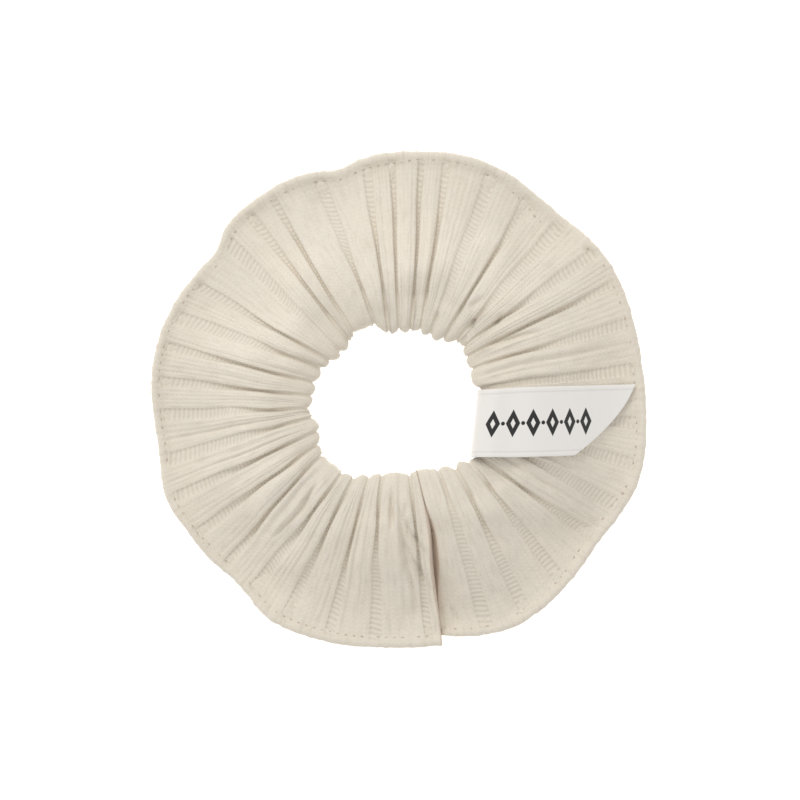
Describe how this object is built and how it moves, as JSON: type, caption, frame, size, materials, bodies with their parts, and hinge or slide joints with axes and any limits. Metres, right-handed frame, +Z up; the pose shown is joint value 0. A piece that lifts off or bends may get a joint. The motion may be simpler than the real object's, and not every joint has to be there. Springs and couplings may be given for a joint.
{
  "type": "scrunchie",
  "caption": "Gathered rib-knit hair tie: a cloth ring folded round a loop of elastic, with a topstitched rim and a satin ribbon label with a slant-cut end.",
  "frame": {"origin": "centre of the hole, on the flat surface that the back of the ring rests on", "axes": "+Z up through the hole, away from the back; +X from the centre of the hole towards the ribbon label"},
  "size_m": [0.12, 0.12, 0.0157],
  "materials": {
    "rib_knit": "brushed rib knit, matt",
    "elastic": "braided, matt",
    "satin_ribbon": "woven satin, soft sheen",
    "sewing_thread": "spun thread"
  },
  "bodies": {
    "left_half": {"cover_left": "rib_knit", "elastic_band": "elastic", "elastic_lap_stitch": "sewing_thread", "rim_stitch_front_left": "sewing_thread", "rim_stitch_back_left": "sewing_thread"},
    "right_half": {"cover_right": "rib_knit", "rim_stitch_front_right": "sewing_thread", "rim_stitch_back_right": "sewing_thread", "closing_seam_stitch": "sewing_thread", "ribbon_back_leg": "satin_ribbon", "ribbon_tack_stitch": "sewing_thread"},
    "label_flap": {"ribbon_front": "satin_ribbon"}
  },
  "joints": [
    {"name": "stretch", "type": "slide", "parent": "left_half", "child": "right_half", "axis": [1, 0, 0], "range_m": [0, 0.05], "stiffness_N_per_m": 60, "deforming": ["elastic_band"]},
    {"name": "label_lift", "type": "hinge", "parent": "right_half", "child": "label_flap", "pos_m": [0.02025, -0.005, 0.01433], "axis": [0, -1, 0], "range_deg": [0, 110]}
  ]
}
